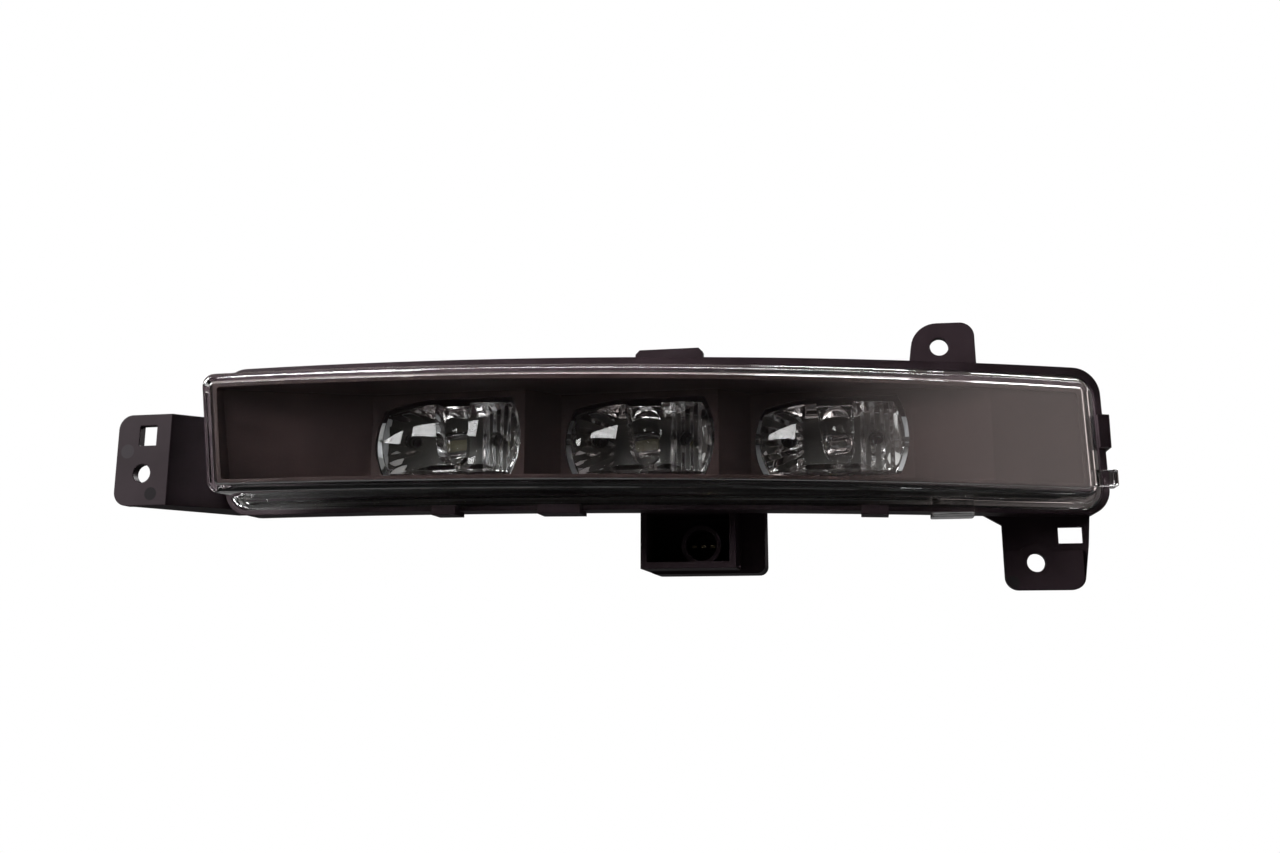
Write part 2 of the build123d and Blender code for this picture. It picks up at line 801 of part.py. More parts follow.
with BuildPart() as pad:
    with BuildSketch(Plane.XZ.offset(-board_back)):
        Rectangle(board_width - 1.0, board_height - 1.0)
        with GridLocations(2 * leg_offset, 1, 2, 1):
            RegularPolygon(peg_clear, side_count, major_radius=False, mode=Mode.SUBTRACT)
        with Locations((0, board_screw_z)):
            with GridLocations(2 * board_screw_offset, 1, 2, 1):
                RegularPolygon(small_screw_clear, side_count, major_radius=False, mode=Mode.SUBTRACT)
    extrude(amount=-thermal_thickness)

with BuildPart() as optic_left:
    with Locations(seats[0]):
        add(optic.part)
with BuildPart() as optic_centre:
    with Locations(seats[1]):
        add(optic.part)
with BuildPart() as optic_right:
    with Locations(seats[2]):
        add(optic.part)
with BuildPart() as led_left:
    with Locations(seats[0]):
        add(light_source.part)
with BuildPart() as led_centre:
    with Locations(seats[1]):
        add(light_source.part)
with BuildPart() as led_right:
    with Locations(seats[2]):
        add(light_source.part)
with BuildPart() as led_board_left:
    with Locations(seats[0]):
        add(board.part)
with BuildPart() as led_board_centre:
    with Locations(seats[1]):
        add(board.part)
with BuildPart() as led_board_right:
    with Locations(seats[2]):
        add(board.part)
with BuildPart() as thermal_pad_left:
    with Locations(seats[0]):
        add(pad.part)
with BuildPart() as thermal_pad_centre:
    with Locations(seats[1]):
        add(pad.part)
with BuildPart() as thermal_pad_right:
    with Locations(seats[2]):
        add(pad.part)

# Heat sink: a stepped plate behind the boards with upright fins and an ear at each end
sink_path = []
for k, (x, y) in enumerate(stations):
    left_reach = board_width / 2 + (sink_ear if k == 0 else 0.0)
    right_reach = board_width / 2 + (sink_ear if k == 2 else 0.0)
    sink_path.append((x - left_reach, y + sink_front))
    sink_path.append((x + right_reach, y + sink_front))

with BuildPart() as heat_sink:
    with BuildSketch(plan):
        with BuildLine():
            Polyline(*sink_path, *[(x, y + sink_plate) for x, y in reversed(sink_path)], close=True)
        make_face()
    extrude(amount=sink_height / 2, both=True)
    for x, y in stations:
        with BuildSketch(front.offset(-y - sink_back)):
            with Locations((x, 0)):
                with GridLocations(fin_span / (fin_count - 1), 1, fin_count, 1):
                    Rectangle(fin_thickness, sink_height)
        extrude(amount=-fin_depth)
        with BuildSketch(front.offset(-y - sink_front)):
            with Locations((x, 0)):
                with GridLocations(2 * leg_offset, 1, 2, 1):
                    RegularPolygon(peg_clear, side_count, major_radius=False)
            with Locations((x, board_screw_z)):
                with GridLocations(2 * board_screw_offset, 1, 2, 1):
                    RegularPolygon(small_screw_radius, side_count, major_radius=False)
        extrude(amount=-sink_plate, mode=Mode.SUBTRACT)
    for x, z, seat in sink_screw_places:
        with BuildSketch(front.offset(-seat)):
            with Locations((x, z)):
                RegularPolygon(screw_clear, side_count, major_radius=False)
        extrude(amount=-sink_plate, mode=Mode.SUBTRACT)

with BuildPart() as sink_screws:
    for x, z, seat in sink_screw_places:
        with BuildSketch(front.offset(-seat + head_height)):
            with Locations((x, z)):
                RegularPolygon(head_radius, side_count, major_radius=False)
        extrude(amount=-head_height)
        with BuildSketch(front.offset(-seat)):
            with Locations((x, z)):
                RegularPolygon(screw_radius, side_count, major_radius=False)
        extrude(amount=-screw_length)

with BuildPart() as board_screws:
    for x, y in stations:
        with BuildSketch(front.offset(-y - board_front + small_head_height)):
            with Locations((x, board_screw_z)):
                with GridLocations(2 * board_screw_offset, 1, 2, 1):
                    RegularPolygon(small_head_radius, side_count, major_radius=False)
        extrude(amount=-small_head_height)
        with BuildSketch(front.offset(-y - board_front)):
            with Locations((x, board_screw_z)):
                with GridLocations(2 * board_screw_offset, 1, 2, 1):
                    RegularPolygon(small_screw_radius, side_count, major_radius=False)
        extrude(amount=-small_screw_length)

# Driver board with its parts, on two posts behind the outer panel of the bezel
with BuildPart() as driver_board:
    with BuildSketch(front.offset(-driver_y)):
        with Locations((driver_x, 0)):
            Rectangle(driver_width, driver_height)
        for x, z, seat in driver_screw_places:
            with Locations((x, z)):
                RegularPolygon(small_screw_clear, side_count, major_radius=False, mode=Mode.SUBTRACT)
    extrude(amount=-board_thickness)

with BuildPart() as driver_parts:
    with BuildSketch(front.offset(-driver_y)):
        with Locations((driver_x + 5.0, 5.6)):
            Rectangle(8.0, 8.0)
    extrude(amount=5.0)
    with BuildSketch(front.offset(-driver_y)):
        with Locations((driver_x - 4.0, 4.4), (driver_x - 4.6, -7.4)):
            RegularPolygon(3.0, side_count, major_radius=False)
    extrude(amount=6.6)
    with BuildSketch(front.offset(-driver_y)):
        with Locations((driver_x + 3.6, -6.0)):
            Rectangle(6.4, 6.4)
    extrude(amount=1.2)

with BuildPart() as driver_screws:
    for x, z, seat in driver_screw_places:
        with BuildSketch(front.offset(-seat + small_head_height)):
            with Locations((x, z)):
                RegularPolygon(small_head_radius, side_count, major_radius=False)
        extrude(amount=-small_head_height)
        with BuildSketch(front.offset(-seat)):
            with Locations((x, z)):
                RegularPolygon(small_screw_radius, side_count, major_radius=False)
        extrude(amount=-small_screw_length)

# Pins moulded into the socket, bent up into the shell
with BuildPart() as connector_pins:
    with BuildSketch(front.offset(-pin_front)):
        with Locations((socket_x, socket_z)):
            with GridLocations(pin_pitch, 1, 3, 1):
                Rectangle(pin_width, pin_thickness)
    extrude(amount=pin_front - socket_floor - 3.0)
    with BuildSketch(plan.offset(socket_z - pin_thickness / 2)):
        with Locations((socket_x, socket_floor + 3.0)):
            with GridLocations(pin_pitch, 1, 3, 1):
                Rectangle(pin_width, pin_thickness)
    extrude(amount=pin_top - socket_z + pin_thickness / 2)

# Leads from board to board along the front of the heat sink, then to the driver board
def strip_outline(points):
    # Both sides of a strip that follows the points, with mitred corners.
    sides = ([], [])
    for k, (x, y) in enumerate(points):
        before = points[max(k - 1, 0)]
        after = points[min(k + 1, len(points) - 1)]
        into = math.atan2(y - before[1], x - before[0]) if k > 0 else None
        out = math.atan2(after[1] - y, after[0] - x) if k < len(points) - 1 else into
        into = out if into is None else into
        middle = (into + out) / 2
        reach = lead_radius / math.cos((out - into) / 2)
        sides[0].append((x - reach * math.sin(middle), y + reach * math.cos(middle)))
        sides[1].append((x + reach * math.sin(middle), y - reach * math.cos(middle)))
    return sides[0] + sides[1][::-1]


lead_runs = []
lie = board_front - lead_radius - lead_gap
for k in range(2):
    start_x = stations[k][0] + board_width / 2
    end_x = stations[k + 1][0] - board_width / 2
    start_y = stations[k][1] + lie
    end_y = stations[k + 1][1] + lie
    run = (
        (start_x - lead_lap, start_y),
        (start_x + lead_turn, start_y),
        (end_x + lead_turn, end_y),
        (end_x + lead_lap, end_y),
    )
    lead_runs.append((lead_turn, run))
    lead_runs.append((lead_turn + lead_pitch, run))
start_x = stations[2][0] + board_width / 2
end_x = driver_x - driver_width / 2
driver_lie = driver_y - lead_radius - lead_gap
run = (
    (start_x - lead_lap, stations[2][1] + lie),
    (start_x + sink_ear + lead_turn, stations[2][1] + lie),
    (end_x + lead_turn, driver_lie),
    (end_x + lead_lap, driver_lie),
)
lead_runs.append((lead_turn - lead_pitch, run))
lead_runs.append((lead_turn, run))

with BuildPart() as board_leads:
    for z, run in lead_runs:
        with BuildSketch(plan.offset(z - lead_radius)):
            with BuildLine():
                Polyline(*strip_outline(run), close=True)
            make_face()
        extrude(amount=2.0 * lead_radius)

with BuildPart() as supply_leads:
    pin_back = socket_floor + 3.0 + pin_thickness / 2
    for k, z in ((-1, pin_top - lead_radius - lead_pitch), (1, pin_top - lead_radius)):
        run = (
            (socket_x + k * pin_pitch, pin_back),
            (socket_x + k * pin_pitch, pin_back + lead_lap * (0.7 - 0.15 * k)),
            (end_x - lead_turn, driver_lie),
            (end_x + lead_lap, driver_lie),
        )
        with BuildSketch(plan.offset(z - lead_radius)):
            with BuildLine():
                Polyline(*strip_outline(run), close=True)
            make_face()
        extrude(amount=2.0 * lead_radius)

# Breather: a membrane over the vent stub under a soft cap
stub_end = back_at(vent_x) + vent_length
with BuildPart() as vent_membrane:
    with BuildSketch(front.offset(-stub_end)):
        with Locations((vent_x, vent_z)):
            Circle(vent_radius - 0.3)
    extrude(amount=-membrane_thickness)

with BuildPart() as vent_cap:
    cap_end = stub_end + membrane_thickness + vent_cap_wall
    with BuildSketch(front.offset(-cap_end)):
        with Locations((vent_x, vent_z)):
            Circle(vent_radius + vent_cap_wall)
    extrude(amount=vent_cap_length + vent_cap_wall)
    chamfer(vent_cap.faces().sort_by(Axis.Y)[-1].edges(), vent_cap_wall / 2)
    with BuildSketch(front.offset(-cap_end + vent_cap_wall)):
        with Locations((vent_x, vent_z)):
            Circle(vent_radius)
    extrude(amount=vent_cap_length, mode=Mode.SUBTRACT)

pieces = {
    "rear_housing": rear_housing,
    "outer_lens": outer_lens,
    "lens_seal": lens_seal,
    "bezel": bezel,
    "optic_left": optic_left,
    "optic_centre": optic_centre,
    "optic_right": optic_right,
    "led_left": led_left,
    "led_centre": led_centre,
    "led_right": led_right,
    "led_board_left": led_board_left,
    "led_board_centre": led_board_centre,
    "led_board_right": led_board_right,
    "thermal_pad_left": thermal_pad_left,
    "thermal_pad_centre": thermal_pad_centre,
    "thermal_pad_right": thermal_pad_right,
    "heat_sink": heat_sink,
    "sink_screws": sink_screws,
    "board_screws": board_screws,
    "driver_board": driver_board,
    "driver_parts": driver_parts,
    "driver_screws": driver_screws,
    "connector_pins": connector_pins,
    "board_leads": board_leads,
    "supply_leads": supply_leads,
    "vent_membrane": vent_membrane,
    "vent_cap": vent_cap,
}
os.makedirs("parts", exist_ok=True)
for name, piece in pieces.items():
    piece.part.label = name
    export_step(piece.part, f"parts/{name}.step")
    print(name, len(piece.part.solids()), round(piece.part.volume, 1))
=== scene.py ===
import bpy
import bmesh
import math
import numpy as np
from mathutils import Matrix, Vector


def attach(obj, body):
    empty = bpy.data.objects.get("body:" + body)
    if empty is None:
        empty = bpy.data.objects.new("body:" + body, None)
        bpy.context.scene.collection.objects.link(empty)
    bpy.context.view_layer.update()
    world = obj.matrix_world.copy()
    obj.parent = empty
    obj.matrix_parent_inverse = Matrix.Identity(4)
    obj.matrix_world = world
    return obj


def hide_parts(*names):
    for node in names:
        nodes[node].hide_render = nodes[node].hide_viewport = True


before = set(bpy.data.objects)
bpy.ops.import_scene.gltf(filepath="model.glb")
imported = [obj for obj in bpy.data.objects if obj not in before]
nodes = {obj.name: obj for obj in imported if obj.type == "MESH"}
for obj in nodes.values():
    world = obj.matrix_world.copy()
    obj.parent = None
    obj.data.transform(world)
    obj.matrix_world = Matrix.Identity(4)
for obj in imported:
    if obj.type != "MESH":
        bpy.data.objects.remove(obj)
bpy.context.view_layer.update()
print("frame loaded:", len(nodes), "nodes")

mm = 0.001
lampX, lampZ = 176.0, 11.0  # middle of the lens front in the frame, millimetres
weldGap = 1e-7  # points nearer than this become one, metres
tiny = 1e-12  # keeps lengths that are divided by clear of zero


def newMaterial(name):
    mat = bpy.data.materials.new(name)
    mat.use_nodes = True
    tree = mat.node_tree
    bsdf = next(n for n in tree.nodes if n.type == "BSDF_PRINCIPLED")
    return mat, tree, bsdf


def addNode(tree, kind, **values):
    # inputs are given by name, with _ for a space
    node = tree.nodes.new(kind)
    for key, value in values.items():
        node.inputs[key.replace("_", " ")].default_value = value
    return node


# what a moulded look has where it says nothing else
plainLook = {
    "ior": 1.5, "metal": 0.0, "sheen": 0.5, "patchScale": 60.0, "patchDetail": 4.0, "toneStops": (0.35, 0.7),
    "grain": 0.05, "grainScale": 2400.0, "grainDetail": 2.0, "grainLift": 0.0002, "ease": 0.0,
    "easeSamples": 6, "marks": (), "markEdge": (0.25, 0.1),
}


def moulded(name, look):
    # moulded finish: wide noise shifts gloss and tone, fine noise lifts the surface, edges are eased
    look = {**plainLook, **look}
    mat, tree, bsdf = newMaterial(name)
    bsdf.inputs["IOR"].default_value = look["ior"]
    bsdf.inputs["Metallic"].default_value = look["metal"]
    bsdf.inputs["Specular IOR Level"].default_value = look["sheen"]
    coords = tree.nodes.new("ShaderNodeTexCoord")
    wide = addNode(tree, "ShaderNodeTexNoise", Scale=look["patchScale"], Detail=look["patchDetail"])
    gloss = addNode(tree, "ShaderNodeMapRange", To_Min=look["gloss"][0], To_Max=look["gloss"][1])
    tone = tree.nodes.new("ShaderNodeValToRGB")
    for stop, place, paint in zip(tone.color_ramp.elements, look["toneStops"], look["shade"]):
        stop.position = place
        stop.color = (*paint, 1)
    tree.links.new(coords.outputs["Object"], wide.inputs["Vector"])
    tree.links.new(wide.outputs["Fac"], gloss.inputs["Value"])
    tree.links.new(wide.outputs["Fac"], tone.inputs["Fac"])
    tree.links.new(gloss.outputs["Result"], bsdf.inputs["Roughness"])
    colour = tone.outputs["Color"]
    inner, outer = look["markEdge"]
    for x, y, z, radius, paint in look["marks"]:
        # round ejector mark: nearer to its middle than the radius, the tone is the mark's own
        far = tree.nodes.new("ShaderNodeVectorMath")
        far.operation = "DISTANCE"
        far.inputs[1].default_value = (x * mm, y * mm, z * mm)
        rim = addNode(tree, "ShaderNodeMapRange", From_Min=(radius - inner) * mm,
                      From_Max=(radius + outer) * mm, To_Min=1.0, To_Max=0.0)
        lay = addNode(tree, "ShaderNodeMixRGB", Color2=(*paint, 1))
        tree.links.new(coords.outputs["Object"], far.inputs[0])
        tree.links.new(far.outputs["Value"], rim.inputs["Value"])
        tree.links.new(rim.outputs["Result"], lay.inputs["Fac"])
        tree.links.new(colour, lay.inputs["Color1"])
        colour = lay.outputs["Color"]
    tree.links.new(colour, bsdf.inputs["Base Color"])
    fine = addNode(tree, "ShaderNodeTexNoise", Scale=look["grainScale"], Detail=look["grainDetail"])
    bump = addNode(tree, "ShaderNodeBump", Strength=look["grain"], Distance=look["grainLift"])
    tree.links.new(coords.outputs["Object"], fine.inputs["Vector"])
    tree.links.new(fine.outputs["Fac"], bump.inputs["Height"])
    if look["ease"] > 0:
        edge = addNode(tree, "ShaderNodeBevel", Radius=look["ease"])
        edge.samples = look["easeSamples"]
        tree.links.new(edge.outputs["Normal"], bump.inputs["Normal"])
    tree.links.new(bump.outputs["Normal"], bsdf.inputs["Normal"])
    return mat


def clearPlastic(name, look):
    # clear body that lamps shine through: shadow rays pass straight on
    mat, tree, bsdf = newMaterial(name)
    bsdf.inputs["Base Color"].default_value = (*look["tint"], 1)
    bsdf.inputs["Transmission Weight"].default_value = 1.0
    bsdf.inputs["Roughness"].default_value = look["rough"]
    bsdf.inputs["IOR"].default_value = look["ior"]
    if "coat" in look:  # weight and index of a thin top coat, which brings out the glints
        bsdf.inputs["Coat Weight"].default_value, bsdf.inputs["Coat IOR"].default_value = look["coat"]
        bsdf.inputs["Coat Roughness"].default_value = 0.0
    out = next(n for n in tree.nodes if n.type == "OUTPUT_MATERIAL")
    path = tree.nodes.new("ShaderNodeLightPath")
    clear = addNode(tree, "ShaderNodeBsdfTransparent", Color=(*look["tint"], 1))
    mix = tree.nodes.new("ShaderNodeMixShader")
    tree.links.new(path.outputs["Is Shadow Ray"], mix.inputs["Fac"])
    tree.links.new(bsdf.outputs["BSDF"], mix.inputs[1])
    tree.links.new(clear.outputs["BSDF"], mix.inputs[2])
    tree.links.new(mix.outputs["Shader"], out.inputs["Surface"])
    return mat


looks = {
    "housing": {"shade": ((0.030, 0.0198, 0.0238), (0.041, 0.028, 0.0335)), "gloss": (0.42, 0.55),
                "grain": 0.04, "ease": 0.0005, "sheen": 0.08,
                "marks": ((-6.0, 0.0, 7.8, 2.5, (0.046, 0.038, 0.043)),  # x, y, z and radius in millimetres
                          (3.9, 0.0, -7.1, 2.3, (0.011, 0.008, 0.010)),
                          (292.4, 61.5, -36.9, 2.4, (0.03, 0.026, 0.028)))},
    "bezel": {"shade": ((0.0150, 0.0092, 0.0087), (0.0215, 0.0134, 0.0128)), "gloss": (0.44, 0.54),
              "grain": 0.03, "grainScale": 5200.0, "ease": 0.0003, "sheen": 0.05},
    "lens": {"tint": (0.985, 0.985, 0.985), "rough": 0.0, "ior": 1.585},
    "optic": {"tint": (0.99, 0.99, 0.985), "rough": 0.0, "ior": 1.49, "coat": (0.35, 1.6)},
    "seal": {"shade": ((0.02, 0.02, 0.02), (0.03, 0.03, 0.03)), "gloss": (0.5, 0.7)},
    "led": {"shade": ((0.036, 0.031, 0.011), (0.05, 0.043, 0.014)), "gloss": (0.4, 0.6)},
    "board": {"shade": ((0.003, 0.003, 0.0015), (0.006, 0.006, 0.0025)), "gloss": (0.3, 0.45)},
    "pad": {"shade": ((0.28, 0.3, 0.32), (0.34, 0.36, 0.38)), "gloss": (0.7, 0.9)},
    "sink": {"shade": ((0.36, 0.37, 0.38), (0.46, 0.47, 0.48)), "gloss": (0.4, 0.55), "metal": 1.0},
    "steel": {"shade": ((0.46, 0.46, 0.46), (0.54, 0.54, 0.54)), "gloss": (0.25, 0.4), "metal": 1.0},
    "parts": {"shade": ((0.018, 0.018, 0.018), (0.026, 0.026, 0.026)), "gloss": (0.4, 0.6)},
    # pins: tin darkened well below its own colour, painted shade of the dark socket they sit in
    "pinsPaintedShade": {"shade": ((0.2, 0.17, 0.1), (0.26, 0.22, 0.14)), "gloss": (0.2, 0.3), "metal": 1.0},
    "leads": {"shade": ((0.025, 0.025, 0.025), (0.035, 0.035, 0.035)), "gloss": (0.5, 0.6)},
    "membrane": {"shade": ((0.66, 0.66, 0.64), (0.74, 0.74, 0.72)), "gloss": (0.8, 0.9)},
    "cap": {"shade": ((0.014, 0.014, 0.015), (0.02, 0.02, 0.021)), "gloss": (0.6, 0.75), "grain": 0.1,
            "ease": 0.0005},
}
mats = {k: (clearPlastic if "tint" in v else moulded)(k + "Look", v) for k, v in looks.items()}
dress = {
    "rear_housing": "housing", "outer_lens": "lens", "lens_seal": "seal", "bezel": "bezel",
    "heat_sink": "sink", "sink_screws": "steel", "board_screws": "steel", "driver_screws": "steel",
    "driver_board": "board", "driver_parts": "parts", "connector_pins": "pinsPaintedShade", "board_leads": "leads",
    "supply_leads": "leads", "vent_membrane": "membrane", "vent_cap": "cap",
}
for side in ("left", "centre", "right"):
    dress.update({"optic_" + side: "optic", "led_" + side: "led", "led_board_" + side: "board",
                  "thermal_pad_" + side: "pad"})
for name, node in nodes.items():
    node.data.materials.clear()
    node.data.materials.append(mats[dress[name]])
print("materials on", len(nodes), "nodes")


def surfaceObject(name, grids, look, crease):
    # each grid is an (nv, nu, 3) array in lamp millimetres, wrapped round in u where it says so
    points, faces, start = [], [], 0
    for grid, wrap in grids:
        nv, nu = grid.shape[:2]
        row = np.arange(nu if wrap else nu - 1)
        nxt = (row + 1) % nu
        base = start + np.arange(nv - 1)[:, None] * nu
        quads = np.stack([base + row, base + nxt, base + nu + nxt, base + nu + row], axis=-1)
        faces.append(quads.reshape(-1, 4))
        points.append(grid.reshape(-1, 3))
        start += nv * nu
    points = np.concatenate(points) + (lampX, 0.0, lampZ)
    mesh = bpy.data.meshes.new(name)
    mesh.from_pydata((points * mm).tolist(), [], np.concatenate(faces).tolist())
    work = bmesh.new()
    work.from_mesh(mesh)
    bmesh.ops.remove_doubles(work, verts=work.verts, dist=weldGap)
    bmesh.ops.recalc_face_normals(work, faces=work.faces)
    work.to_mesh(mesh)
    work.free()
    mesh.shade_smooth()
    mesh.set_sharp_from_angle(angle=math.radians(crease))
    mesh.materials.append(mats[look])
    obj = bpy.data.objects.new(name, mesh)
    bpy.context.scene.collection.objects.link(obj)
    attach(obj, "root")
    return obj


def bowDepth(x, radius, sweep, depth):
    # depth at x of a circle whose normal at x = 0 is turned by sweep
    turn = math.radians(sweep)
    reach = x + radius * math.sin(turn)
    return depth + radius * math.cos(turn) - np.sqrt(radius ** 2 - reach ** 2)


# millimetres and degrees; bow and seam are radius, sweep and depth, the rows are shares of the way
lensSize = {
    "height": 40.0, "left": 146.3, "right": 144.0, "leanLeft": 7.5, "leanRight": 1.5, "corner": 4.0,
    "cornerMost": 0.98, "cornerLeast": (0.6, 0.5), "wall": 2.5, "edge": 2.0, "bow": (610.0, 12.0, 0.004),
    "seam": (660.0, 10.0, 17.9), "foot": 3.1, "footThick": 2.2, "footEdge": 0.25, "footRound": 0.2,
    "tongue": 2.2, "tongueDepth": 6.5, "tongueRound": 0.3, "innerRound": 0.8, "innerStart": 1.4,
    "wallRows": (0.25, 0.5, 0.75, 0.94, 1.0), "footRows": (0.15, 0.6, 0.93), "innerRows": (0.9, 0.5, 0.25),
    "faceRows": 14, "edgeSteps": 9, "cornerSteps": 9, "alongLong": 220, "alongShort": 30, "crease": 40,
}


def lensLoops(margin, size):
    # rounded trapezoid grown by margin: four lean sides joined by arcs, one loop for each margin
    half = size["height"] / 2
    top, low = half + margin, -half - margin
    lean, rake = (math.tan(math.radians(size[k])) for k in ("leanLeft", "leanRight"))
    left, right = -size["left"] - margin, size["right"] + margin
    corners = np.stack([
        np.stack([left - top * lean, top], -1), np.stack([right - top * rake, top], -1),
        np.stack([right - low * rake, low], -1), np.stack([left - low * lean, low], -1)], axis=1)
    back = np.roll(corners, 1, axis=1) - corners
    on = np.roll(corners, -1, axis=1) - corners
    back /= np.linalg.norm(back, axis=2, keepdims=True) + tiny
    on /= np.linalg.norm(on, axis=2, keepdims=True) + tiny
    inside = np.arccos(np.clip((back * on).sum(2), -1, 1))
    radius = np.clip(size["corner"] + margin, 0.0, None)[:, None]
    room, (least, part) = np.maximum(top, 0.0), size["cornerLeast"]
    radius = np.minimum(radius, size["cornerMost"] * room[:, None])
    radius = np.maximum(radius, np.minimum(least, part * room)[:, None])
    middle = back + on
    middle /= np.linalg.norm(middle, axis=2, keepdims=True) + tiny
    centre = corners + middle * (radius / np.sin(inside / 2))[..., None]
    begin = corners + back * (radius / np.tan(inside / 2))[..., None]
    first = np.arctan2(begin[..., 1] - centre[..., 1], begin[..., 0] - centre[..., 0])
    steps = np.linspace(0, 1, size["cornerSteps"])
    angle = first[..., None] - (math.pi - inside)[..., None] * steps
    arcs = centre[:, :, None, :] + radius[..., None, None] * np.stack([np.cos(angle), np.sin(angle)], -1)
    loops = []
    for k, count in enumerate((size["alongLong"], size["alongShort"]) * 2):
        share = np.linspace(0, 1, count + 2)[None, 1:-1, None]
        end, start = arcs[:, k, -1:, :], arcs[:, (k + 1) % 4, :1, :]
        loops += [arcs[:, k], end + (start - end) * share]
    return np.concatenate(loops, axis=1)


def lensProfile(size):
    # out over the face, round the edge, down the wall, round the foot and tongue, then back up inside;
    # a row is a margin, a depth behind the bow, a share of the way to the seam and a depth behind the seam
    turn = np.linspace(0, math.pi / 2, size["edgeSteps"])[1:]
    half, wall, edge, foot = size["height"] / 2, size["wall"], size["edge"], size["foot"]
    thick, deep, root = size["footThick"], size["tongueDepth"], foot - size["tongue"]
    tip, heel, cove = size["tongueRound"], size["footRound"], size["innerRound"]
    rows = [(m, 0.0, 0.0, 0.0) for m in np.linspace(-half, -edge, size["faceRows"])]
    rows += [(-edge + edge * math.sin(t), edge - edge * math.cos(t), 0.0, 0.0) for t in turn]
    rows += [(0.0, edge, s, 0.0) for s in size["wallRows"]]
    rows += [(foot * s, edge, 1.0, 0.0) for s in size["footRows"]]
    rows += [(foot, edge, 1.0, d) for d in (size["footEdge"], thick, deep - tip)]
    rows += [(foot - tip, edge, 1.0, deep), (root + tip, edge, 1.0, deep)]
    rows += [(root, edge, 1.0, deep - tip), (root, edge, 1.0, thick)]
    rows += [(-wall + heel, edge, 1.0, thick), (-wall, edge, 1.0, thick - heel)]
    rows += [(-wall, edge, s, 0.0) for s in size["innerRows"]]
    rows += [(-wall - cove + cove * math.cos(t), wall + cove - cove * math.sin(t), 0.0, 0.0)
             for t in turn[1:]]
    rows += [(m, wall, 0.0, 0.0) for m in np.linspace(-wall - size["innerStart"], -half, size["faceRows"])]
    return np.array(rows)


profile = lensProfile(lensSize)
loops = lensLoops(profile[:, 0], lensSize)
x, z = loops[..., 0], loops[..., 1]
share = profile[:, 2][:, None]
y = (1 - share) * (bowDepth(x, *lensSize["bow"]) + profile[:, 1][:, None]) \
    + share * (bowDepth(x, *lensSize["seam"]) + profile[:, 3][:, None])
lensGrid = np.stack([x, y, z], axis=-1)
clearLens = surfaceObject("clear_lens", [(lensGrid, True)], "lens", lensSize["crease"])
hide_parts("outer_lens")
print("lens:", len(clearLens.data.polygons), "faces")

# low is x from, x to, then three heights; end is three places along x, then two heights
lugSize = {
    "low": (89.0, 103.0, -27.0, -25.5, -19.5), "end": (151.3, 152.8, 143.5, -15.4, -9.8), "endSeam": 148.0,
    "lead": 3.2, "tail": 6.0, "gap": 0.3, "square": 0.16, "grid": (49, 25), "crease": 60,
}


def softBlock(x, y, z):
    # superellipsoid between two corners: powers of sine and cosine square off a sphere
    nu, nv = lugSize["grid"]
    a, b = np.meshgrid(np.linspace(0, 2 * math.pi, nu), np.linspace(-math.pi / 2, math.pi / 2, nv))
    ca, sa, cb, sb = (np.sign(t) * np.abs(t) ** lugSize["square"]
                      for t in (np.cos(a), np.sin(a), np.cos(b), np.sin(b)))
    unit = np.stack([cb * ca, cb * sa, sb], -1)
    low, high = np.array([x[0], y[0], z[0]]), np.array([x[1], y[1], z[1]])
    return (low + high) / 2 + unit * (high - low) / 2


x0, x1, z0, z1, z2 = lugSize["low"]
e0, e1, e2, h0, h1 = lugSize["end"]
seamLow, seamEnd = (bowDepth(at, *lensSize["seam"]) for at in ((x0 + x1) / 2, lugSize["endSeam"]))
lead, tail, gap = lugSize["lead"], lugSize["tail"], lugSize["gap"]
lugs = [softBlock((x0, x1), (seamLow - lead, seamLow - gap), (z0, z2)),
        softBlock((x0, x1), (seamLow - lead, seamLow + tail), (z0, z1)),
        softBlock((e2, e1), (seamEnd - lead, seamEnd - gap), (h0, h1)),
        softBlock((e0, e1), (seamEnd - lead, seamEnd + tail), (h0, h1))]
lensLugs = surfaceObject("lens_lugs", [(g, False) for g in lugs], "lens", lugSize["crease"])
print("lugs:", len(lugs), "blocks")

# millimetres; stations are x and depth, lobes are place and radius, pocket is left, right, low and depth
opticSize = {
    "stations": ((-70.7, 10.5), (-7.0, 21.3), (56.7, 32.1)), "sides": ("left", "centre", "right"),
    "reach": 24.4, "half": 12.2, "bulge": 3.4, "crest": -0.12, "fall": 3.2, "depth": 17.0, "round": 1.3,
    "lobeLeft": (-6.5, 45.0), "lobeRight": (9.0, 30.0), "lobeUp": (-5.7, 69.0),
    "pocket": (-4.6, 7.3, -9.4, 8.0), "pocketLean": 0.14, "pocketEdge": 0.35, "swell": 3.4,
    "swellUp": (1.0, 11.0), "plateau": (8.5, 7.4), "flankUp": 0.75, "flankPower": 1.15, "rimThick": 2.2,
    "rimMost": 11.0, "fluteTurn": 13.0, "flutePitch": 3.1, "fluteDepth": 0.75, "fluteStart": (0.02, 0.2),
    "fluteEnd": (0.82, 0.96), "offAxis": 1e-6, "dome": 3.6, "legs": 14.0, "legEdge": (2.0, 2.4),
    "board": 18.0, "least": 1.0, "grid": (260, 150), "crease": 28,
}


def ramp(value, low, high):
    # smooth step from 0 at low to 1 at high
    t = np.clip((value - low) / (high - low), 0, 1)
    return t * t * (3 - 2 * t)


def wave(t):
    # triangle wave between 0 and 1
    return np.abs(2 * (t - np.floor(t + 0.5)))


